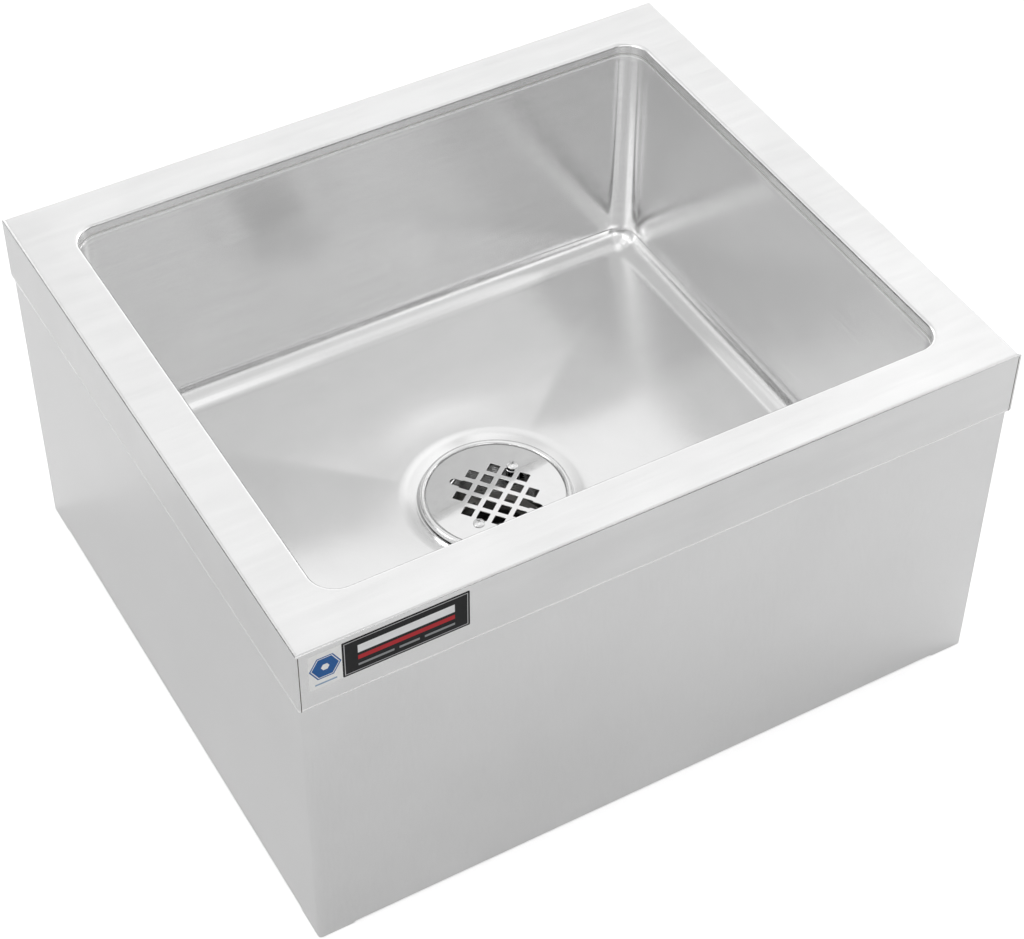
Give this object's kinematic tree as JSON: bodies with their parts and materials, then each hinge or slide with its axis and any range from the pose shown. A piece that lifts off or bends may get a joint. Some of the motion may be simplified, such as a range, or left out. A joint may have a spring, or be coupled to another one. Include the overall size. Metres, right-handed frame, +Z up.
{
  "type": "mop service sink",
  "caption": "Floor-standing service sink with a flat folded rim, a coved bowl whose floor falls to a strainer drain, and a plain box skirt.",
  "frame": {"origin": "centre of the footprint, on the floor", "axes": "+X along the long front, to the right seen from the front; the front faces -Y; +Z up"},
  "size_m": [0.5588, 0.4828, 0.3048],
  "materials": {
    "satin_sheet": "satin stainless sheet",
    "mill_sheet": "mill finish stainless sheet",
    "weld_metal": "dressed weld",
    "polished_steel": "polished",
    "cast_brass": "as cast, dull",
    "black_rubber": "moulded",
    "damping_pad": "rolled bitumen-like sheet",
    "fibre": "pressed fibre",
    "plate_print": "printed film, black field with plain bars",
    "tag_print": "printed film, white field with a plain blue shape"
  },
  "bodies": {
    "cabinet": {"rim_deck": "satin_sheet", "apron_corner_welds": "weld_metal", "bowl": "satin_sheet", "bowl_seam_weld": "weld_metal", "skirt_wrap": "satin_sheet", "back_panel": "satin_sheet", "corner_gussets": "mill_sheet", "sound_pads": "damping_pad", "drain_body": "polished_steel", "flange_gasket": "black_rubber", "under_washer": "black_rubber", "friction_ring": "fibre", "drain_locknut": "cast_brass", "pipe_seal": "black_rubber", "compression_nut": "cast_brass", "front_plate": "plate_print", "front_tag": "tag_print"},
    "strainer": {"strainer_plate": "polished_steel"},
    "screw_a": {"strainer_screw_a": "polished_steel"},
    "screw_b": {"strainer_screw_b": "polished_steel"}
  },
  "joints": [
    {"name": "strainer_lift", "type": "slide", "parent": "cabinet", "child": "strainer", "axis": [0, 0, 1], "range_m": [0, 0.25]},
    {"name": "screw_a_withdraw", "type": "slide", "parent": "strainer", "child": "screw_a", "axis": [0, 0, 1], "range_m": [0, 0.02]},
    {"name": "screw_b_withdraw", "type": "slide", "parent": "strainer", "child": "screw_b", "axis": [0, 0, 1], "range_m": [0, 0.02]}
  ]
}
